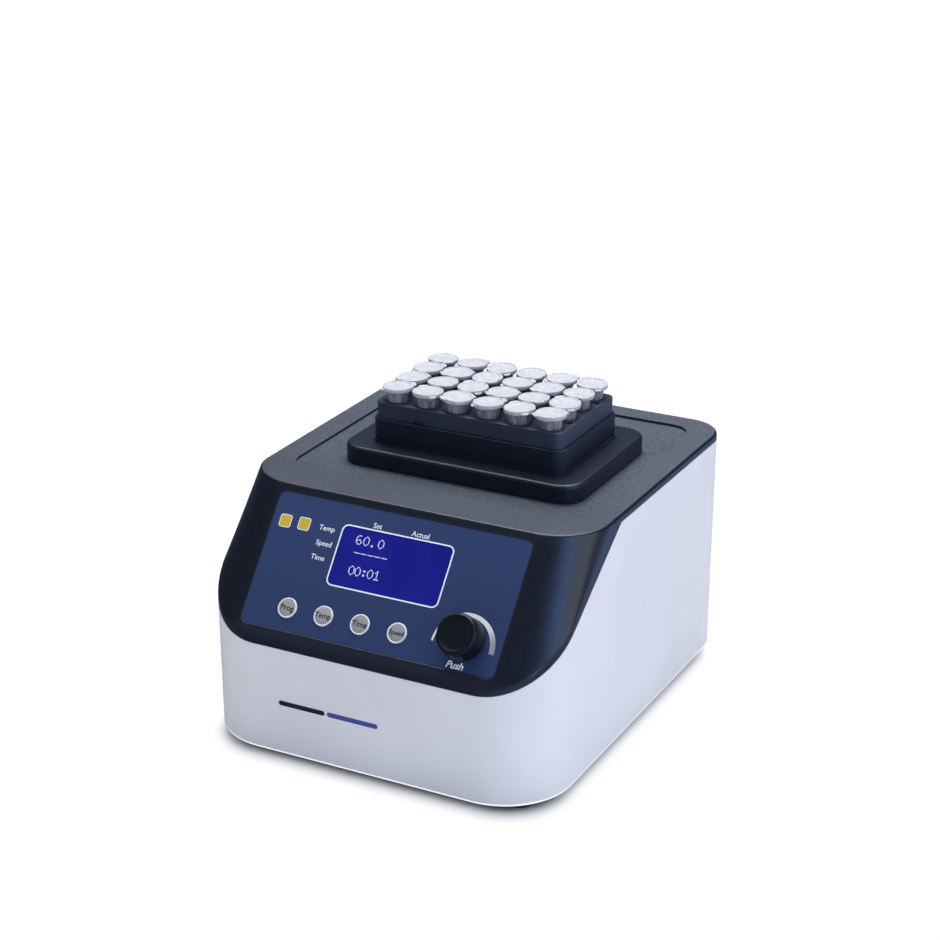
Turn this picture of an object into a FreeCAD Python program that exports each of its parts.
"""Dry block heater with orbital mixing, 24 tube block, millimetres.

Frame: origin on the floor at the middle of the footprint, +X to the right,
+Y to the rear, +Z up.  The control panel faces -Y.
"""
import os
import math
import FreeCAD, Part
from FreeCAD import Vector, Rotation, Placement

os.makedirs("parts", exist_ok=True)

# ---- driving dimensions -------------------------------------------------
BODY_W = 220.0          # overall width
BODY_D = 260.0          # overall depth
FOOT_H = 5.0            # gap between floor and the white body
BODY_TOP = 146.2        # top face of the cover
WALL = 3.0              # moulded wall
R_FRONT = 41.0          # plan radius of the white body, front corners
R_REAR = 22.5           # plan radius, rear corners
R_TOP_FRONT = 32.0      # plan radius of the cover's top face, front corners
SPLIT_Z = 71.0          # parting line height at the front
SPLIT_REAR_Z = 141.7    # parting line height along the rear
SPLIT_RUN = 101.0       # distance over which the parting line climbs
SEAM = 0.15             # open seam between the two mouldings
TOP_EDGE = 2.2          # rounding of the cover's top edge

PANEL_TILT = 51.2       # panel angle above horizontal
PANEL_Z = 76.0          # height where the panel plane meets the front plane
PANEL_START = 6.57      # distance up the slope to the panel's lower edge
PANEL_BLEND = 12.0      # radius between front face and panel face
PANEL_W = 159.4
PANEL_H = 78.7
PANEL_R = 4.0
PANEL_SINK = 0.9        # depth of the pocket the overlay lies in
OVERLAY_T = 0.6

LCD_X = 0.4             # window centre on the panel
LCD_U = 48.9
LCD_W = 69.4
LCD_H = 34.9
BUTTON_U = 13.1
BUTTON_X = {"prog": -52.9, "temp": -29.6, "time": -6.3, "speed": 17.0}
BUTTON_R = 6.1
KNOB_X = 57.2
KNOB_U = 17.8
KNOB_R = 12.5
KNOB_TAPER = 0.6        # the knob's top is this much smaller in radius
KNOB_FOOT = 1.2         # gap between knob and overlay
KNOB_TOP = 13.6
KNOB_DISH_R = 80.0      # radius of the hollow in the knob's face
ENCODER_BUSH_R = 3.5
ENCODER_SHAFT_R = 3.0

TOP_POCKET = (187.0, 162.3, 13.0, 1.6)   # width, depth, radius, sink
TOP_POCKET_Y = 33.2
BLOCK_X = 5.5           # middle of the block and of the whole moving stack
BLOCK_Y = 23.1
ORBIT = 1.5             # orbit radius
SKIRT = (152.5, 104.0, 14.0)    # width, depth, corner radius
SKIRT_Z = (145.6, 155.6)
SKIRT_WALL = 6.2
SHROUD = (124.0, 77.5, 8.0)
SHROUD_Z = (155.6, 170.1)
SHROUD_WALL = 2.2
BLOCK = (119.8, 73.7, 5.0)
BLOCK_Z = (170.3, 180.0)
BLOCK_STEM = (117.0, 70.6, 4.0)
BLOCK_BASE_Z = 146.5
PLATE_Z = 141.5         # underside of the thermal plate
PELTIER = (40.0, 34.0, 4.0)
PELTIER_AT = (24.0, 20.0)
SENSOR_R = 2.0
SINK = (136.0, 92.0, 3.0)
SINK_Z = (131.5, 137.5) # the heat sink's base
FIN = (2.2, 90.0, 31.6)
FIN_COUNT = 13
FIN_PITCH = 8.34
PLATFORM = (140.0, 100.0, 8.0)
PLATFORM_Z = (79.0, 85.0)
LEG_R = 2.6
WELL_NX = 6
WELL_NY = 4
PITCH_X = 19.6
PITCH_Y = 18.6
SCREW_X = 55.5          # block screws, from the middle of the block
WELL_R = 6.75
WELL_DEPTH = 31.0
TUBE_R = 6.65
TUBE_WALL = 0.9
TUBE_OUT = 6.1          # tube standing proud of the block
CONE_H = 17.0           # length of a tube's tapered end
TUBE_TIP_R = 2.5
LID_R = 9.1
LID_T = 2.5
LID_TAB = (4.0, 6.0, 1.5, 1.2)      # thumb tab: length, width, corner radius, thickness
LID_STRAP = (3.4, 4.6, 1.2, 1.0)
LID_RIM = 1.5
LID_DISH = 0.45
LID_PLUG = 3.0          # length of the plug inside the tube
OPENING = (142.0, 94.0, 6.0)

BOSS_FRONT = (88.0, -108.0)
BOSS_REAR = (94.0, 114.0)
BOSS_ROOF = (94.5, 143.5)   # where the cover's screw posts meet its roof
BOSS_TOP = (77.0, 130.0)    # where the shell's bosses meet the cover's posts, front and rear
BOSS_R = 5.0
POST_R = 4.6
CASE_SCREW_TIP = (85.0, 137.0)
M4_R = 1.95             # screw shanks and the holes they pass through
M4_HOLE = 2.05
M3_R = 1.5
M3_HOLE = 1.6
SELF_TAP_R = 1.2
SELF_TAP_HOLE = 1.3
FAN_X = -44.0
FAN_Z = 92.0
REAR_WINDOW = (154.0, 108.0)
REAR_Z = 71.0           # middle of the rear window
INLET = (46.0, 38.0)
SWITCH = (-6.0, 38.0)
FUSE = (-44.0, 38.0)
CRANK_X = BLOCK_X - ORBIT   # crank axis
FRAME_PLATE = (146.0, 106.0, 8.0)
FRAME_Z = (63.0, 67.0)
BEARING_R = 11.0        # outer radii of the ball bearings
SMALL_BEARING_R = 5.0
SHAFT_R = 4.0
IDLER_R = 3.0
PAD_R = 6.0
CRANK_Z = (71.0, 77.0)  # the crank disc
CRANK_DISC_R = 20.0
MOTOR_R = 29.0
MOTOR_Z = 20.0          # underside of the motor
IDLER_X = (-42.0, 42.0)     # idler cranks, to either side of the crank
X = Vector(1, 0, 0)
Y = Vector(0, 1, 0)
Z = Vector(0, 0, 1)
FRONT = -BODY_D / 2
REAR = BODY_D / 2


# ---- helpers ------------------------------------------------------------
def save(name, *solids):
    flat = []
    for s in solids:
        flat += s.Solids
    shape = flat[0] if len(flat) == 1 else Part.makeCompound(flat)
    shape.exportStep("parts/" + name + ".step")


def plan_face(x0, x1, y0, y1, rf, rr, z=0.0):
    """Rounded rectangle in plan: radius rf at the y0 corners, rr at y1."""
    k = math.sqrt(0.5)

    def corner(cx, cy, r, a):
        pts = [a - 45, a, a + 45]
        p = [Vector(cx + r * math.cos(math.radians(t)), cy + r * math.sin(math.radians(t)), z)
             for t in pts]
        return Part.Arc(p[0], p[1], p[2]).toShape()

    if rf > 0:
        front = [corner(x0 + rf, y0 + rf, rf, 225), corner(x1 - rf, y0 + rf, rf, 315)]
    else:
        front = [Part.makeLine(Vector(x0, y0, z), Vector(x1, y0, z))]
    e = front + [corner(x1 - rr, y1 - rr, rr, 45), corner(x0 + rr, y1 - rr, rr, 135)]
    edges = []
    for i, here in enumerate(e):
        after = e[(i + 1) % len(e)]
        edges.append(here)
        a = here.valueAt(here.LastParameter)
        b = after.valueAt(after.FirstParameter)
        if a.distanceToPoint(b) > 1e-6:
            edges.append(Part.makeLine(a, b))
    return Part.Face(Part.Wire(edges))


def slab(w, d, r, z0, z1, cx=0.0, cy=0.0):
    """Upright rounded block centred on (cx, cy)."""
    if r <= 0:
        return Part.makeBox(w, d, z1 - z0, Vector(cx - w / 2, cy - d / 2, z0))
    f = plan_face(cx - w / 2, cx + w / 2, cy - d / 2, cy + d / 2, r, r, z0)
    return f.extrude(Vector(0, 0, z1 - z0))


def rod(r, z0, z1, x=0.0, y=0.0):
    return Part.makeCylinder(r, z1 - z0, Vector(x, y, z0), Z)


def ring(r1, r0, z0, z1, x=0.0, y=0.0):
    return rod(r1, z0, z1, x, y).cut(rod(r0, z0 - 1, z1 + 1, x, y))


def fuse(shapes):
    out = shapes[0]
    if len(shapes) > 1:
        out = out.multiFuse(shapes[1:])
    return out.removeSplitter()


def body_prism(t, z0, z1):
    """The body's plan outline, moved in by t."""
    f = plan_face(-BODY_W / 2 + t, BODY_W / 2 - t, FRONT + t, REAR - t, R_FRONT - t, R_REAR - t, z0)
    return f.extrude(Vector(0, 0, z1 - z0))


def above_split(shift):
    """Everything above the parting surface raised by shift."""
    m = (SPLIT_REAR_Z - SPLIT_Z) / SPLIT_RUN
    z0 = SPLIT_Z + shift
    zr = SPLIT_REAR_Z + shift
    pts = [(FRONT - 10, z0 - 10 * m), (FRONT + SPLIT_RUN, zr), (REAR + 10, zr),
           (REAR + 10, 260), (FRONT - 10, 260)]
    v = [Vector(-BODY_W, y, z) for y, z in pts]
    return Part.Face(Part.makePolygon(v + [v[0]])).extrude(Vector(2 * BODY_W, 0, 0))


def cover_section(t, y, z, rear_z, r):
    """Closed planar outline leaning back from (y, z) at the front to rear_z."""
    a = BODY_W / 2 - t
    y1 = FRONT + SPLIT_RUN
    m = (rear_z - z) / (y1 - y)

    def lift(x, yy):
        return Vector(x, yy, z + m * (yy - y))

    def corner(sx):
        k = r * math.sqrt(0.5)
        p = [Vector(sx * (a - r), y, 0), Vector(sx * (a - r + k), y + r - k, 0), Vector(sx * a, y + r, 0)]
        c = Part.Arc(p[0], p[1], p[2]).toBSpline()
        for i, q in enumerate(c.getPoles()):
            c.setPole(i + 1, lift(q.x, q.y))
        return c.toShape()

    edges = [Part.makeLine(lift(-(a - r), y), lift(a - r, y)), corner(1),
             Part.makeLine(lift(a, y + r), lift(a, y1)), Part.makeLine(lift(a, y1), lift(-a, y1)),
             Part.makeLine(lift(-a, y1), lift(-a, y + r)), corner(-1)]
    return Part.Wire(Part.__sortEdges__(edges))


def cover_form(t, top, drop):
    """Front and rear halves of the cover's form moved in by t, closed above at height top."""
    th = math.radians(PANEL_TILT)
    cy = FRONT + PANEL_BLEND
    cz = SPLIT_Z + 0.8
    rb = PANEL_BLEND - t
    prof = [(FRONT + t, SPLIT_Z - drop), (FRONT + t, cz)]
    steps = 6
    for i in range(1, steps + 1):
        a = math.pi - (math.pi / 2 - th) * i / steps
        prof.append((cy + rb * math.cos(a), cz + rb * math.sin(a)))
    prof.append((FRONT + (top - PANEL_Z + t / math.cos(th)) / math.tan(th), top))
    band_rear = SPLIT_REAR_Z - max(drop, 0.0) + 0.4
    wires = []
    for y, z in prof:
        s = max(0.0, (z - cz) / (top - cz))
        if z < cz - 1e-6:
            rear = SPLIT_REAR_Z - drop
        else:
            rear = band_rear + s * (top - band_rear)
        r = (R_FRONT - t) + s * (R_TOP_FRONT - R_FRONT)
        wires.append(cover_section(t, y, z, rear, r))
    nose = Part.makeLoft(wires, True, True)
    a = BODY_W / 2 - t
    f = plan_face(-a, a, FRONT + SPLIT_RUN, REAR - t, 0, R_REAR - t, SPLIT_REAR_Z - drop)
    tail = f.extrude(Vector(0, 0, top - SPLIT_REAR_Z + drop))
    return nose, tail


PANEL = Placement(
    Vector(0, FRONT + PANEL_START * math.cos(math.radians(PANEL_TILT)),
           PANEL_Z + PANEL_START * math.sin(math.radians(PANEL_TILT))),
    Rotation(X, PANEL_TILT))


def on_panel(shape):
    """Moves a shape from panel coordinates (x, up the slope, outwards)."""
    s = shape.copy()
    s.Placement = PANEL.multiply(s.Placement)
    return s


def cut_all(shape, tools):
    for t in tools:
        shape = shape.cut(t)
    return shape


# ---- lower shell --------------------------------------------------------
def shell_boss(x, y, top, angle):
    """Corner boss with a rib running out to the wall."""
    rib = Part.makeBox(30, 2.4, top - FOOT_H - 3, Vector(0, -1.2, FOOT_H + 3))
    rib.rotate(Vector(0, 0, 0), Z, angle)
    rib.translate(Vector(x, y, 0))
    return rod(BOSS_R, FOOT_H + 3, top, x, y).fuse(rib)


def lower_shell():
    outer = body_prism(0, FOOT_H, BODY_TOP)
    bottom = [e for e in outer.Edges if all(abs(v.Z - FOOT_H) < 1e-6 for v in e.Vertexes)]
    outer = outer.makeFillet(1.2, bottom)
    shell = outer.cut(body_prism(WALL, FOOT_H - 1, BODY_TOP + 1))
    bosses = []
    for sx in (-1, 1):
        a = -45 if sx > 0 else -135
        bosses.append(shell_boss(sx * BOSS_FRONT[0], BOSS_FRONT[1], BOSS_TOP[0], a))
        bosses.append(shell_boss(sx * BOSS_REAR[0], BOSS_REAR[1], BOSS_TOP[1], -a))
    inside = body_prism(1.0, FOOT_H, BODY_TOP)
    shell = fuse([shell] + [b.common(inside) for b in bosses])
    shell = shell.cut(above_split(0.0))
    for sx in (-1, 1):
        shell = shell.cut(rod(M4_HOLE, 0, 200, sx * BOSS_FRONT[0], BOSS_FRONT[1]))
        shell = shell.cut(rod(M4_HOLE, 0, 200, sx * BOSS_REAR[0], BOSS_REAR[1]))
    w, h = REAR_WINDOW
    window = slab(w, h, 6.0, 0, 20, 0, 0)
    window.rotate(Vector(0, 0, 0), X, 90)
    window.translate(Vector(0, REAR + 5, REAR_Z))
    shell = shell.cut(window)
    for x, z in rear_screw_places():
        shell = shell.cut(Part.makeCylinder(1.55, 20, Vector(x, REAR - 15, z), Y))
        shell = shell.cut(Part.makeCone(1.55, 3.05, 1.5, Vector(x, REAR - 1.5, z), Y))
    return shell


def rear_screw_places():
    return [(sx * 81.0, REAR_Z + sz * 46.0) for sx in (-1, 1) for sz in (-1, 1)]


# ---- top cover ----------------------------------------------------------
def panel_holes(shape):
    """Openings through the panel wall for the window, keys and encoder."""
    tools = [slab(LCD_W + 0.5, LCD_H + 0.5, 3.0, -9, 5, LCD_X, LCD_U)]
    for x in BUTTON_X.values():
        tools.append(rod(BUTTON_R + 0.07, -9, 5, x, BUTTON_U))
    tools.append(rod(ENCODER_BUSH_R + 0.1, -9, 5, KNOB_X, KNOB_U))
    return cut_all(shape, [on_panel(t) for t in tools])


def board_posts():
    return [(-72.0, 4.0), (76.0, 4.0), (-72.0, 73.0), (76.0, 73.0)]


def top_cover():
    nose, tail = cover_form(0.0, BODY_TOP, -SEAM)
    form = nose.fuse(tail).removeSplitter()
    edge = [e for e in form.Edges if all(abs(v.Z - BODY_TOP) < 1e-4 for v in e.Vertexes)]
    form = form.makeFillet(TOP_EDGE, edge)
    hollow = cover_form(WALL, BODY_TOP - WALL - TOP_POCKET[3], 6.0)[0]
    cover = form.cut(hollow)
    lip = body_prism(3.3, SPLIT_Z - 6, BODY_TOP).cut(body_prism(4.8, SPLIT_Z - 8, BODY_TOP + 1))
    lip = lip.common(above_split(-3.0)).cut(above_split(1.0))
    band = body_prism(0.6, SPLIT_Z - 6, BODY_TOP).cut(body_prism(4.8, SPLIT_Z - 8, BODY_TOP + 1))
    band = band.common(above_split(SEAM)).cut(above_split(2.5))
    cover = cover.fuse(band.fuse(lip).removeSplitter()).removeSplitter()
    posts = []
    for sx in (-1, 1):
        posts.append(rod(POST_R, BOSS_TOP[0], BOSS_ROOF[0], sx * BOSS_FRONT[0], BOSS_FRONT[1]))
        posts.append(rod(POST_R, BOSS_TOP[1], BOSS_ROOF[1], sx * BOSS_REAR[0], BOSS_REAR[1]))
    posts += [on_panel(rod(3.2, -11.4, -1.9, x, u)) for x, u in board_posts()]
    cover = fuse([cover] + posts)
    for sx in (-1, 1):
        cover = cover.cut(rod(BOSS_R + 0.4, 60, BOSS_TOP[0], sx * BOSS_FRONT[0], BOSS_FRONT[1]))
        cover = cover.cut(rod(BOSS_R + 0.4, 60, BOSS_TOP[1], sx * BOSS_REAR[0], BOSS_REAR[1]))
        cover = cover.cut(rod(M4_R + 0.05, 60, CASE_SCREW_TIP[0] + 2, sx * BOSS_FRONT[0], BOSS_FRONT[1]))
        cover = cover.cut(rod(M4_R + 0.05, 60, CASE_SCREW_TIP[1] + 2, sx * BOSS_REAR[0], BOSS_REAR[1]))
        cover = cover.cut(rib_space(sx))
    for x, u in board_posts():
        cover = cover.cut(on_panel(rod(1.25, -12, -5.0, x, u)))
    w, d, r, sink = TOP_POCKET
    cover = cover.cut(slab(w, d, r, BODY_TOP - sink, BODY_TOP + 5, 0, TOP_POCKET_Y))
    w, d, r = OPENING
    cover = cover.cut(slab(w, d, r, 120, BODY_TOP + 5, CRANK_X, BLOCK_Y))
    pocket = slab(PANEL_W + 0.6, PANEL_H + 0.6, PANEL_R + 0.3, -PANEL_SINK, 5, 0, PANEL_H / 2)
    cover = cover.cut(on_panel(pocket))
    return panel_holes(cover)


def rib_space(sx):
    """Room in the cover's lip for the shell's corner ribs."""
    out = []
    for (x, y), a, top in ((BOSS_FRONT, -45, BOSS_TOP[0]), (BOSS_REAR, 45, BOSS_TOP[1])):
        b = Part.makeBox(34, 3.2, 40, Vector(0, -1.6, top - 40))
        b.rotate(Vector(0, 0, 0), Z, a if sx > 0 else 180 - a)
        b.translate(Vector(sx * x, y, 0))
        out.append(b)
    return out[0].fuse(out[1])


# ---- base, feet, case screws -------------------------------------------
def corner_places():
    out = []
    for sx in (-1, 1):
        out.append((sx * BOSS_FRONT[0], BOSS_FRONT[1], CASE_SCREW_TIP[0]))
        out.append((sx * BOSS_REAR[0], BOSS_REAR[1], CASE_SCREW_TIP[1]))
    return out


def base_plate():
    plate = body_prism(WALL + 0.2, FOOT_H + 1, FOOT_H + 3)
    holes = [rod(M4_HOLE, 0, 20, x, y) for x, y, t in corner_places()]
    for i in range(9):
        x = -56.0 + 14.0 * i
        holes.append(slab(5.0, 46.0, 2.49, 0, 20, x, -58.0))
    for x, y in standoff_places():
        holes.append(rod(M3_HOLE, 0, 20, x, y))
    for cx in PSU_X, MAIN_X:
        for x, y in board_corners(cx):
            holes.append(rod(SELF_TAP_HOLE, 0, 20, x, y))
    return cut_all(plate, holes)


def case_screw(x, y, tip):
    head = rod(3.4, 2.2, 4.6, x, y)
    head = head.cut(Part.makeBox(1.0, 5.0, 1.0, Vector(x - 0.5, y - 2.5, 1.9)))
    head = head.cut(Part.makeBox(5.0, 1.0, 1.0, Vector(x - 2.5, y - 0.5, 1.9)))
    return head.fuse(rod(M4_R, 4.6, tip, x, y)).removeSplitter()


def rubber_foot(x, y):
    foot = Part.makeCone(8.2, 9.2, 6.0, Vector(x, y, 0), Z)
    rim = [e for e in foot.Edges if abs(e.BoundBox.ZMax) < 1e-6]
    foot = foot.makeFillet(0.8, rim)
    return foot.cut(rod(4.0, -1, 4.6, x, y)).cut(rod(M4_HOLE, 0, 9, x, y))


# ---- control panel ------------------------------------------------------
def overlay():
    z0 = -PANEL_SINK
    z1 = z0 + OVERLAY_T
    s = slab(PANEL_W, PANEL_H, PANEL_R, z0, z1, 0, PANEL_H / 2)
    s = s.cut(slab(LCD_W + 0.1, LCD_H + 0.1, 3.0, -9, 5, LCD_X, LCD_U))
    for x in BUTTON_X.values():
        s = s.cut(rod(BUTTON_R + 0.07, -9, 5, x, BUTTON_U))
    s = s.cut(rod(ENCODER_BUSH_R + 0.1, -9, 5, KNOB_X, KNOB_U))
    return on_panel(s)


def lcd_glass():
    return on_panel(slab(LCD_W, LCD_H, 2.9, -2.9, -0.45, LCD_X, LCD_U))


def lcd_module():
    frame = slab(LCD_W + 9, LCD_H + 9, 1.0, -8.6, -3.1, LCD_X, LCD_U)
    frame = frame.cut(slab(LCD_W - 4, LCD_H - 4, 1.0, -4.6, 0, LCD_X, LCD_U))
    return on_panel(frame)


def lcd_cell():
    return on_panel(slab(LCD_W - 4.4, LCD_H - 4.4, 0.8, -4.5, -3.0, LCD_X, LCD_U))


def button(x):
    cap = rod(BUTTON_R, -6.0, 0.25, x, BUTTON_U)
    rim = [e for e in cap.Edges if abs(e.BoundBox.ZMin - 0.25) < 1e-6]
    cap = cap.makeFillet(0.5, rim)
    return on_panel(cap.fuse(rod(BUTTON_R + 0.9, -4.8, -3.1, x, BUTTON_U)).removeSplitter())


def key_switch(x):
    body = slab(6.2, 6.2, 0.6, -11.4, -8.2, x, BUTTON_U)
    return on_panel(body.fuse(rod(1.75, -8.2, -6.75, x, BUTTON_U)).removeSplitter())


def control_board():
    b = slab(156.0, 77.0, 3.0, -13.0, -11.4, 2.0, 38.5)
    for x, u in board_posts():
        b = b.cut(rod(M3_HOLE, -20, 0, x, u))
    return on_panel(b)


def board_screw(x, u):
    head = rod(2.6, -14.6, -13.0, x, u)
    head = head.cut(Part.makeBox(0.8, 3.6, 0.8, Vector(x - 0.4, u - 1.8, -14.6)))
    return on_panel(head.fuse(rod(SELF_TAP_R, -13.0, -6.0, x, u)).removeSplitter())


def encoder_body():
    b = slab(12.4, 12.4, 1.0, -11.4, -3.2, KNOB_X, KNOB_U)
    b = b.fuse(rod(ENCODER_BUSH_R, -3.2, 2.6, KNOB_X, KNOB_U))
    b = b.cut(rod(4.7, -9.6, -6.4, KNOB_X, KNOB_U))
    return on_panel(b.cut(rod(ENCODER_SHAFT_R + 0.03, -11.0, 5, KNOB_X, KNOB_U)).removeSplitter())


def encoder_rotor():
    return on_panel(ring(4.65, ENCODER_SHAFT_R + 0.05, -9.5, -6.5, KNOB_X, KNOB_U))


def encoder_shaft():
    s = rod(ENCODER_SHAFT_R, -10.0, 10.4, KNOB_X, KNOB_U)
    return on_panel(s.cut(Part.makeBox(6, 6, 6.4, Vector(KNOB_X + 1.6, KNOB_U - 3, 4.2))))


def encoder_nut():
    pts = []
    for i in range(7):
        a = math.radians(60 * i)
        pts.append(Vector(KNOB_X + 5.8 * math.cos(a), KNOB_U + 5.8 * math.sin(a), 0))
    n = Part.Face(Part.makePolygon(pts)).extrude(Vector(0, 0, 2.0))
    n.translate(Vector(0, 0, -0.3))
    return on_panel(n.cut(rod(ENCODER_BUSH_R + 0.02, -5, 5, KNOB_X, KNOB_U)))


def knob():
    at = Vector(KNOB_X, KNOB_U, KNOB_FOOT)
    k = Part.makeCone(KNOB_R, KNOB_R - KNOB_TAPER, KNOB_TOP - KNOB_FOOT, at, Z)
    top = [e for e in k.Edges if abs(e.BoundBox.ZMin - KNOB_TOP) < 1e-6]
    k = k.makeFillet(1.5, top)
    foot = [e for e in k.Edges if abs(e.BoundBox.ZMax - KNOB_FOOT) < 1e-6]
    k = k.makeFillet(0.4, foot)
    k = k.cut(Part.makeSphere(KNOB_DISH_R, Vector(KNOB_X, KNOB_U, KNOB_TOP + KNOB_DISH_R - 0.4)))
    k = k.cut(rod(7.0, 0, 3.8, KNOB_X, KNOB_U))
    bore = rod(ENCODER_SHAFT_R + 0.02, 0, 10.5, KNOB_X, KNOB_U)
    bore = bore.cut(Part.makeBox(6, 6, 6.3, Vector(KNOB_X + 1.62, KNOB_U - 3, 4.25)))
    return on_panel(k.cut(bore))


# ---- moving stack -------------------------------------------------------
def stack(w, d, r, z0, z1):
    return slab(w, d, r, z0, z1, BLOCK_X, BLOCK_Y)


def round_top(shape, z, r):
    e = [e for e in shape.Edges if all(abs(v.Z - z) < 1e-6 for v in e.Vertexes)]
    return shape.makeFillet(r, e)


LEGS = [(BLOCK_X + sx * 65.2, BLOCK_Y + sy * 41.0) for sx in (-1, 1) for sy in (-1, 1)]


def skirt():
    z0, z1 = SKIRT_Z
    s = round_top(stack(SKIRT[0], SKIRT[1], SKIRT[2], z0, z1), z1, 2.4)
    s = s.cut(stack(SKIRT[0] - 2 * SKIRT_WALL, SKIRT[1] - 2 * SKIRT_WALL, 6.0, z0 - 1, z1 - 3))
    s = s.cut(stack(BLOCK_STEM[0] + 0.8, BLOCK_STEM[1] + 0.8, 4.4, z0 - 1, z1 + 1))
    legs = [rod(LEG_R, SINK_Z[1], z1 - 2, x, y) for x, y in LEGS]
    return fuse([s] + legs)


def shroud():
    z0, z1 = SHROUD_Z
    s = round_top(stack(SHROUD[0], SHROUD[1], SHROUD[2], z0, z1), z1, 0.7)
    lip = stack(SHROUD[0] + 1.6, SHROUD[1] + 1.6, SHROUD[2] + 0.8, z0, z0 + 1.2)
    hollow = stack(SHROUD[0] - 2 * SHROUD_WALL, SHROUD[1] - 2 * SHROUD_WALL, 5.8, z0 - 1, z1 + 1)
    return s.fuse(lip).cut(hollow).removeSplitter()


def insulation():
    w = 2 * SHROUD_WALL + 0.2
    s = stack(SHROUD[0] - w, SHROUD[1] - w, 5.7, SHROUD_Z[0] + 0.1, SHROUD_Z[1] - 0.8)
    return s.cut(stack(BLOCK_STEM[0] + 0.4, BLOCK_STEM[1] + 0.4, 4.2, 150, 180))


def wells():
    out = []
    for i in range(WELL_NX):
        x = BLOCK_X + (i - (WELL_NX - 1) / 2) * PITCH_X
        for j in range(WELL_NY):
            out.append((x, BLOCK_Y + (j - (WELL_NY - 1) / 2) * PITCH_Y))
    return out


def tube_profile(r, top, bottom, tip):
    """Cylinder over a tapered end, as a solid of revolution round Z."""
    knee = bottom + CONE_H
    pts = [Vector(0, 0, bottom), Vector(tip, 0, bottom), Vector(r, 0, knee), Vector(r, 0, top),
           Vector(0, 0, top), Vector(0, 0, bottom)]
    return Part.Face(Part.makePolygon(pts)).revolve(Vector(0, 0, 0), Z, 360)


SCREWS = [(BLOCK_X + sx * SCREW_X, BLOCK_Y + sy * PITCH_Y) for sx in (-1, 1) for sy in (-1, 1)]


def tube_block():
    z0, z1 = BLOCK_Z
    b = round_top(stack(BLOCK[0], BLOCK[1], BLOCK[2], z0, z1), z1, 0.8)
    b = b.fuse(stack(BLOCK_STEM[0], BLOCK_STEM[1], BLOCK_STEM[2], BLOCK_BASE_Z, z0)).removeSplitter()
    well = tube_profile(WELL_R, z1 + 3, z1 - WELL_DEPTH, TUBE_TIP_R + 0.1)
    for x, y in wells():
        w = well.copy()
        w.translate(Vector(x, y, 0))
        b = b.cut(w)
    for x, y in SCREWS:
        b = b.cut(rod(M3_HOLE, 140, 200, x, y)).cut(rod(2.5, z1 - 4.0, 200, x, y))
    notch = Part.makeBox(7.8, 1.6, 3.2, Vector(-29.3, BLOCK_Y - BLOCK[1] / 2 - 0.1, z0 - 0.1))
    b = b.cut(notch)
    return b.cut(rod(SENSOR_R + 0.1, 140, 167, BLOCK_X, BLOCK_Y))


def block_screw(x, y):
    z1 = BLOCK_Z[1]
    head = rod(2.4, z1 - 4.0, z1 - 1.2, x, y).cut(rod(1.2, z1 - 2.6, z1, x, y))
    return head.fuse(rod(M3_R, PLATE_Z + 1.0, z1 - 4.0, x, y)).removeSplitter()


def thermal_plate():
    p = stack(124.0, 76.0, 3.0, PLATE_Z, BLOCK_BASE_Z)
    p = p.cut(rod(SENSOR_R + 0.1, 140, 150, BLOCK_X, BLOCK_Y))
    return cut_all(p, [rod(M3_R + 0.05, PLATE_Z + 0.5, 150, x, y) for x, y in SCREWS])


def peltiers():
    w, d, t = PELTIER
    out = []
    for sx in (-1, 1):
        for sy in (-1, 1):
            x = BLOCK_X + sx * PELTIER_AT[0] - w / 2
            y = BLOCK_Y + sy * PELTIER_AT[1] - d / 2
            out.append(Part.makeBox(w, d, t, Vector(x, y, SINK_Z[1])))
    return out


def heat_sink():
    base = stack(SINK[0], SINK[1], SINK[2], *SINK_Z)
    t, length, h = FIN
    first = BLOCK_X - (FIN_COUNT - 1) / 2 * FIN_PITCH - t / 2
    fins = []
    for i in range(FIN_COUNT):
        corner = Vector(first + FIN_PITCH * i, BLOCK_Y - length / 2, SINK_Z[0] + 0.1 - h)
        fins.append(Part.makeBox(t, length, h, corner))
    return fuse([base] + fins)


def platform_plate():
    p = stack(PLATFORM[0], PLATFORM[1], PLATFORM[2], *PLATFORM_Z)
    p = p.cut(rod(BEARING_R, 70, 90, BLOCK_X, BLOCK_Y))
    for x in IDLER_X:
        p = p.cut(rod(SMALL_BEARING_R, 70, 90, x + BLOCK_X, BLOCK_Y))
    return p


POSTS = [(BLOCK_X + sx * 61.5, BLOCK_Y + sy * 39.0) for sx in (-1, 1) for sy in (-1, 1)]


# ---- drive --------------------------------------------------------------
def standoff_places():
    return [(CRANK_X + sx * 66.0, BLOCK_Y + sy * 46.0) for sx in (-1, 1) for sy in (-1, 1)]


PADS = [(CRANK_X + sx * 50.0, BLOCK_Y + sy * 34.0) for sx in (-1, 1) for sy in (-1, 1)]


def drive_frame():
    z0, z1 = FRAME_Z
    p = slab(FRAME_PLATE[0], FRAME_PLATE[1], FRAME_PLATE[2], z0, z1, CRANK_X, BLOCK_Y)
    p = p.fuse(rod(BEARING_R + 4.0, z0, z1 + 3, CRANK_X, BLOCK_Y))
    p = p.cut(rod(BEARING_R, 60, 80, CRANK_X, BLOCK_Y))
    for x in IDLER_X:
        p = p.cut(rod(SMALL_BEARING_R, 60, 80, x + CRANK_X, BLOCK_Y))
    for x, y in standoff_places():
        p = p.cut(rod(M3_HOLE, 60, 70, x, y))
    return p.removeSplitter()


def bearing(outer, shaft, z, x):
    """Ball bearing drawn as one ring, running on a shaft with 0.03 mm to spare."""
    return ring(outer, shaft + 0.03, z[0], z[1], x, BLOCK_Y)


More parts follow.
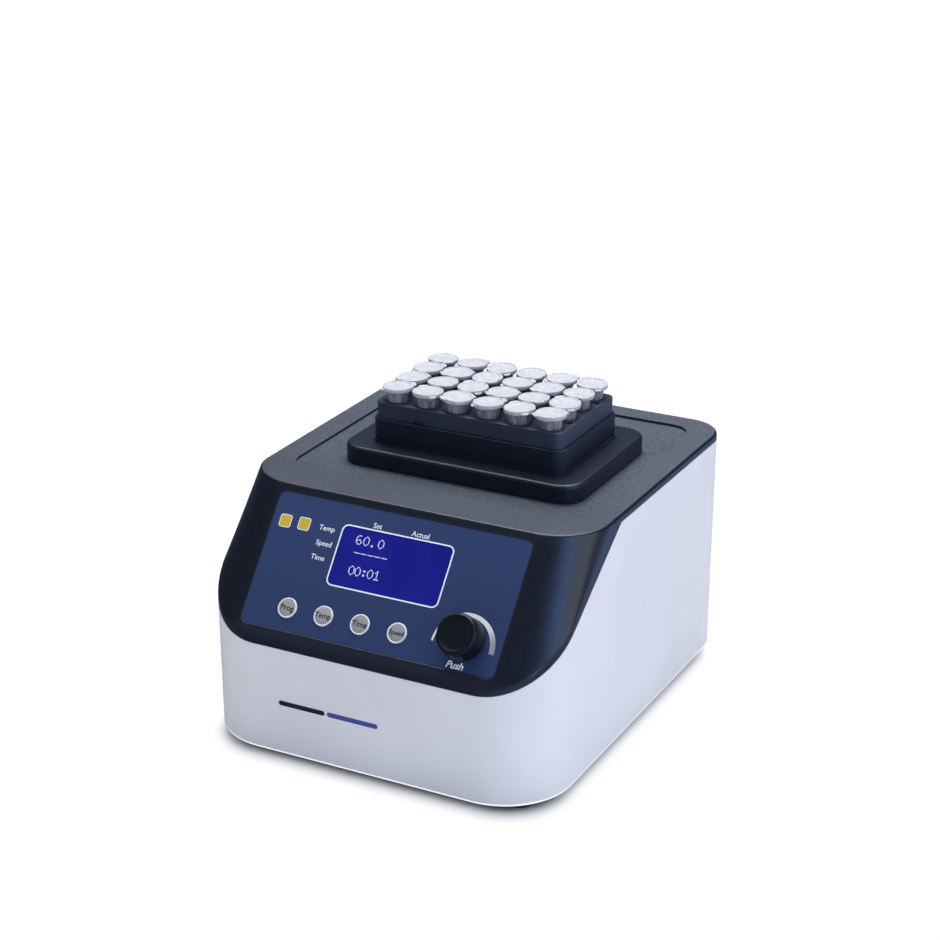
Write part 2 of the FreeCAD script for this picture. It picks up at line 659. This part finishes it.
def frame_screw(x, y):
    z = FRAME_Z[1]
    head = rod(2.9, z, z + 2.2, x, y).cut(rod(1.2, z + 1, z + 3, x, y))
    return head.fuse(rod(M3_R, z - 12, z, x, y)).removeSplitter()


def standoff(x, y):
    return ring(4.0, M3_R + 0.05, FOOT_H + 3, FRAME_Z[0], x, y)


def motor_body():
    b = rod(MOTOR_R, MOTOR_Z, FRAME_Z[0], CRANK_X, BLOCK_Y)
    b = b.cut(rod(20.6, 27.0, 58.0, CRANK_X, BLOCK_Y))
    b = b.cut(rod(SHAFT_R + 0.03, 19, 70, CRANK_X, BLOCK_Y))
    e = [e for e in b.Edges if abs(e.BoundBox.ZMax - MOTOR_Z) < 1e-6 and e.BoundBox.XLength > 50]
    return b.makeFillet(2.0, e)


def motor_rotor():
    return ring(20.0, SHAFT_R, 30.0, 55.0, CRANK_X, BLOCK_Y)


def crank_shaft():
    z0, z1 = CRANK_Z
    s = rod(SHAFT_R, 23.0, z0 + 1, CRANK_X, BLOCK_Y)
    s = s.fuse(rod(CRANK_DISC_R, z0, z1, CRANK_X, BLOCK_Y))
    return s.fuse(rod(SHAFT_R, z1, PLATFORM_Z[1], CRANK_X + ORBIT, BLOCK_Y)).removeSplitter()


def counterweight():
    w = ring(30.0, CRANK_DISC_R, CRANK_Z[0], CRANK_Z[1], CRANK_X, BLOCK_Y)
    return w.common(Part.makeBox(31, 70, 20, Vector(CRANK_X - 31, BLOCK_Y - 35, 65)))


def idler(x):
    z0 = CRANK_Z[0]
    s = rod(IDLER_R, 60.0, z0 + 0.5, x + CRANK_X, BLOCK_Y)
    s = s.fuse(rod(8.0, z0, z0 + 4, x + CRANK_X, BLOCK_Y))
    return s.fuse(rod(IDLER_R, z0 + 4, PLATFORM_Z[1] - 0.5, x + BLOCK_X, BLOCK_Y)).removeSplitter()


# ---- rear panel, supply, cooling ---------------------------------------
def rear_plate():
    p = Part.makeBox(170.0, 2.0, 118.0, Vector(-85.0, REAR - 5.0, REAR_Z - 59.0))
    tools = [Part.makeBox(31, 9, 24, Vector(INLET[0] - 15.5, REAR - 9, INLET[1] - 12)),
             Part.makeBox(18.2, 9, 28.2, Vector(SWITCH[0] - 9.1, REAR - 9, SWITCH[1] - 14.1)),
             Part.makeCylinder(6.1, 9, Vector(FUSE[0], REAR - 9, FUSE[1]), Y)]
    for x, z in rear_screw_places():
        tools.append(Part.makeCylinder(1.55, 9, Vector(x, REAR - 9, z), Y))
    for k in range(4):
        r0 = 5.5 + 6.0 * k
        slot = Part.makeCylinder(r0 + 3.6, 9, Vector(FAN_X, REAR - 9, FAN_Z), Y)
        slot = slot.cut(Part.makeCylinder(r0, 9, Vector(FAN_X, REAR - 9, FAN_Z), Y))
        for a in (45, 135):
            bar = Part.makeBox(70, 12, 3.0, Vector(-35, REAR - 10, -1.5))
            bar.rotate(Vector(0, 0, 0), Y, a)
            bar.translate(Vector(FAN_X, 0, FAN_Z))
            slot = slot.cut(bar)
        tools.append(slot)
    for i in range(8):
        tools.append(Part.makeBox(3.2, 9, 40, Vector(22.0 + 7.0 * i, REAR - 9, FAN_Z - 20)))
    return cut_all(p, tools)


def rear_screw(x, z):
    s = Part.makeCone(1.5, 2.95, 1.45, Vector(x, REAR - 1.5, z), Y)
    s = s.fuse(Part.makeCylinder(1.5, 8.0, Vector(x, REAR - 9.5, z), Y))
    s = s.cut(Part.makeBox(4.0, 0.7, 0.8, Vector(x - 2.0, REAR - 0.75, z - 0.4)))
    return s.cut(Part.makeBox(0.8, 0.7, 4.0, Vector(x - 0.4, REAR - 0.75, z - 2.0))).removeSplitter()


def power_inlet():
    x, z = INLET
    b = Part.makeBox(30.6, 24.0, 23.6, Vector(x - 15.3, REAR - 27, z - 11.8))
    flange = Part.makeBox(50.0, 2.2, 29.0, Vector(x - 25.0, REAR - 3.0, z - 14.5))
    b = b.fuse(flange)
    pts = [(-12, -8), (12, -8), (12, 4), (8, 8), (-8, 8), (-12, 4)]
    v = [Vector(x + a, REAR, z + c) for a, c in pts]
    well = Part.Face(Part.makePolygon(v + [v[0]])).extrude(Vector(0, -17.0, 0))
    b = b.cut(well)
    for dx in (-20.0, 20.0):
        b = b.cut(Part.makeCylinder(1.6, 9, Vector(x + dx, REAR - 6, z), Y))
    for px, pz, w, h in inlet_pins():
        b = b.cut(Part.makeBox(w, 30, h, Vector(x + px - w / 2, REAR - 32, z + pz - h / 2)))
    return b.removeSplitter()


def inlet_pins():
    return [(-7.0, -2.0, 2.0, 4.0), (7.0, -2.0, 2.0, 4.0), (0.0, 2.0, 2.0, 4.0)]


def inlet_blades():
    x, z = INLET
    out = []
    for px, pz, w, h in inlet_pins():
        out.append(Part.makeBox(w, 28, h, Vector(x + px - w / 2, REAR - 31, z + pz - h / 2)))
    return out


def fuse_holder():
    x, z = FUSE
    b = Part.makeCylinder(6.0, 26.0, Vector(x, REAR - 29, z), Y)
    b = b.fuse(Part.makeCylinder(7.6, 2.0, Vector(x, REAR - 3, z), Y))
    return b.cut(Part.makeBox(8.0, 1.2, 1.4, Vector(x - 4.0, REAR - 2.0, z - 0.7))).removeSplitter()


def switch_body():
    x, z = SWITCH
    b = Part.makeBox(18.0, 20.0, 28.0, Vector(x - 9.0, REAR - 23.0, z - 14.0))
    b = b.fuse(Part.makeBox(22.0, 1.6, 32.0, Vector(x - 11.0, REAR - 3.0, z - 16.0)))
    b = b.cut(Part.makeBox(12.0, 16.0, 22.6, Vector(x - 6.0, REAR - 15.0, z - 11.3)))
    return b.cut(Part.makeCylinder(1.53, 15.0, Vector(x - 7.5, REAR - 8.5, z), X)).removeSplitter()


def rocker():
    x, z = SWITCH
    y = REAR - 8.5
    pts = [(-5.0, -6.0), (5.6, -9.8), (5.0, 0.0), (5.6, 9.8), (-5.0, 6.0)]
    v = [Vector(x - 5.7, y + a, z + c) for a, c in pts]
    b = Part.Face(Part.makePolygon(v + [v[0]])).extrude(Vector(11.4, 0, 0))
    b = b.fuse(Part.makeCylinder(1.5, 14.6, Vector(x - 7.3, y, z), X)).removeSplitter()
    b.rotate(Vector(x, y, z), X, 7.0)
    return b


def fan_frame():
    y0 = REAR - 20.0
    f = Part.makeBox(60, 15, 60, Vector(FAN_X - 30, y0, FAN_Z - 30))
    corners = [e for e in f.Edges if abs(e.BoundBox.YLength - 15) < 1e-6]
    f = f.makeFillet(3.0, corners).cut(Part.makeCylinder(28.6, 20, Vector(FAN_X, y0 - 2, FAN_Z), Y))
    hub = Part.makeCylinder(12.0, 2.5, Vector(FAN_X, y0, FAN_Z), Y)
    arms = []
    for a in (30, 120, 210, 300):
        bar = Part.makeBox(30, 2.5, 2.6, Vector(0, 0, -1.3))
        bar.rotate(Vector(0, 0, 0), Y, a)
        bar.translate(Vector(FAN_X, y0, FAN_Z))
        arms.append(bar)
    reach = Part.makeCylinder(29.5, 20, Vector(FAN_X, y0 - 2, FAN_Z), Y)
    f = fuse([f, hub] + [a.common(reach) for a in arms])
    f = f.cut(Part.makeCylinder(1.53, 20, Vector(FAN_X, y0 - 2, FAN_Z), Y))
    for sx in (-1, 1):
        for sz in (-1, 1):
            f = f.cut(Part.makeCylinder(1.6, 20, Vector(FAN_X + sx * 25, y0 - 2, FAN_Z + sz * 25), Y))
    return f.removeSplitter()


def fan_rotor():
    y0 = REAR - 20.0
    hub = Part.makeCylinder(11.5, 11.2, Vector(FAN_X, y0 + 3.0, FAN_Z), Y)
    axle = Part.makeCylinder(1.5, 4.0, Vector(FAN_X, y0 + 0.3, FAN_Z), Y)
    blades = []
    for i in range(7):
        b = Part.makeBox(17.5, 1.4, 12.0, Vector(10.0, -0.7, -6.0))
        b.rotate(Vector(0, 0, 0), X, 38)
        b.rotate(Vector(0, 0, 0), Y, 360.0 * i / 7)
        b.translate(Vector(FAN_X, y0 + 8.6, FAN_Z))
        blades.append(b)
    sweep = Part.makeCylinder(27.8, 11.0, Vector(FAN_X, y0 + 3.1, FAN_Z), Y)
    return fuse([hub, axle] + [b.common(sweep) for b in blades])


PSU_X = -50.0
MAIN_X = 50.0
BOARD = (84.0, 62.0)
BOARD_Y = -72.0
BOARD_Z = (16.0, 17.6)


def board_corners(cx):
    return [(cx + sx * (BOARD[0] / 2 - 4), BOARD_Y + sy * (BOARD[1] / 2 - 4))
            for sx in (-1, 1) for sy in (-1, 1)]


def board(cx):
    b = slab(BOARD[0], BOARD[1], 2.0, BOARD_Z[0], BOARD_Z[1], cx, BOARD_Y)
    return cut_all(b, [rod(SELF_TAP_HOLE, 0, 30, x, y) for x, y in board_corners(cx)])


def psu_parts():
    x, y, z = PSU_X, BOARD_Y, BOARD_Z[1]
    transformer = slab(30, 26, 2, z, 42, x + 14, y + 2)
    bulk_capacitor = rod(9.0, z, 46, x - 14, y + 12)
    small_capacitor = rod(6.0, z, 38, x - 27, y - 6)
    choke = slab(14, 22, 1, z, 30, x - 12, y - 14)
    fin = slab(4, 40, 0.5, z, 40, x + 36, y)
    return [transformer, bulk_capacitor, small_capacitor, choke, fin]


def main_parts():
    x, y, z = MAIN_X, BOARD_Y, BOARD_Z[1]
    processor = slab(14, 14, 0.6, z, 19.4, x - 4, y + 4)
    terminals = slab(10, 24, 0.6, z, 26, x + 28, y)
    header = slab(22, 6, 0.6, z, 25, x - 20, y + 20)
    driver_fin = slab(26, 8, 0.6, z, 32, x - 22, y - 18)
    capacitors = [rod(4.0, z, 29, x + 10, y + dy) for dy in (16, -16)]
    return [processor, terminals, header, driver_fin] + capacitors


# ---- tubes --------------------------------------------------------------
def tube(x, y):
    z1 = BLOCK_Z[1]
    bottom = z1 - WELL_DEPTH + 0.05
    t = tube_profile(TUBE_R, z1 + TUBE_OUT, bottom, TUBE_TIP_R)
    t = t.cut(tube_profile(TUBE_R - TUBE_WALL, z1 + TUBE_OUT + 1, bottom + 1.0, TUBE_TIP_R - TUBE_WALL))
    t.translate(Vector(x, y, 0))
    return t


def lid_turn(i):
    """Tabs point along the diagonals, where there is room between four lids."""
    return 45.0 + 90.0 * ((7 * i) // 3 % 4)


def lid(x, y, turn):
    """Push-in cap with its thumb tab and the strap side opposite."""
    z = BLOCK_Z[1] + TUBE_OUT
    top = z + LID_T
    cap = rod(LID_R, z, top)
    w, d, r, t = LID_TAB
    tab = slab(w, d, r, top - t, top, LID_R - 0.2, 0)
    w, d, r, t = LID_STRAP
    strap = slab(w, d, r, top - t - 0.4, top - 0.4, -LID_R + 0.3, 0)
    cap = cap.fuse([tab, strap]).removeSplitter()
    cap = cap.cut(rod(LID_R - LID_RIM, top - LID_DISH, top + 1))
    plug_r = TUBE_R - TUBE_WALL - 0.1
    plug = ring(plug_r, plug_r - 1.0, z - LID_PLUG, z + 0.2)
    cap = cap.fuse(plug).removeSplitter()
    cap.rotate(Vector(0, 0, 0), Z, turn)
    cap.translate(Vector(x, y, 0))
    return cap


# ---- write everything ---------------------------------------------------
save("lower_shell", lower_shell())
save("top_cover", top_cover())
save("base_plate", base_plate())
save("rubber_feet", *[rubber_foot(x, y) for x, y, t in corner_places()])
save("case_screws", *[case_screw(x, y, t) for x, y, t in corner_places()])
save("panel_overlay", overlay())
save("lcd_glass", lcd_glass())
save("lcd_module", lcd_module(), lcd_cell())
for name, x in BUTTON_X.items():
    save("button_" + name, button(x))
save("key_switches", *[key_switch(x) for x in BUTTON_X.values()])
save("control_board", control_board())
save("control_board_screws", *[board_screw(x, u) for x, u in board_posts()])
save("encoder_body", encoder_body())
save("encoder_rotor", encoder_rotor())
save("encoder_shaft", encoder_shaft())
save("encoder_nut", encoder_nut())
save("knob", knob())

save("platform_skirt", skirt())
save("block_shroud", shroud())
save("block_insulation", insulation())
save("tube_block", tube_block())
save("block_screws", *[block_screw(x, y) for x, y in SCREWS])
save("thermal_plate", thermal_plate())
save("temperature_sensor", rod(SENSOR_R, 138.0, 166.0, BLOCK_X, BLOCK_Y))
save("peltier_modules", *peltiers())
save("heat_sink", heat_sink())
save("platform_posts", *[rod(4.0, PLATFORM_Z[1], SINK_Z[0], x, y) for x, y in POSTS])
save("platform_plate", platform_plate())
save("platform_bearings", bearing(BEARING_R, SHAFT_R, PLATFORM_Z, BLOCK_X),
     *[bearing(SMALL_BEARING_R, IDLER_R, PLATFORM_Z, x + BLOCK_X) for x in IDLER_X])

save("drive_frame", drive_frame())
save("frame_standoffs", *[standoff(x, y) for x, y in standoff_places()])
save("frame_screws", *[frame_screw(x, y) for x, y in standoff_places()])
save("glide_pads", *[rod(PAD_R, FRAME_Z[1], PLATFORM_Z[0] - 0.05, x, y) for x, y in PADS])
save("frame_bearings", bearing(BEARING_R, SHAFT_R, (FRAME_Z[0], FRAME_Z[1] + 3), CRANK_X),
     *[bearing(SMALL_BEARING_R, IDLER_R, FRAME_Z, x + CRANK_X) for x in IDLER_X])
save("motor_body", motor_body())
save("motor_rotor", motor_rotor())
save("crank_shaft", crank_shaft())
save("counterweight", counterweight())
save("idler_crank_left", idler(IDLER_X[0]))
save("idler_crank_right", idler(IDLER_X[1]))

save("rear_panel", rear_plate())
save("rear_panel_screws", *[rear_screw(x, z) for x, z in rear_screw_places()])
save("power_inlet", power_inlet())
save("inlet_blades", *inlet_blades())
save("fuse_holder", fuse_holder())
save("switch_body", switch_body())
save("switch_rocker", rocker())
save("fan_frame", fan_frame())
save("fan_rotor", fan_rotor())
save("supply_board", board(PSU_X))
save("main_board", board(MAIN_X))
save("board_parts", *psu_parts(), *main_parts())
save("board_spacers", *[ring(3.0, SELF_TAP_HOLE, FOOT_H + 3, BOARD_Z[0], x, y)
                        for cx in (PSU_X, MAIN_X) for x, y in board_corners(cx)])

save("sample_tubes", *[tube(x, y) for x, y in wells()])
save("tube_caps", *[lid(x, y, lid_turn(i)) for i, (x, y) in enumerate(wells())])
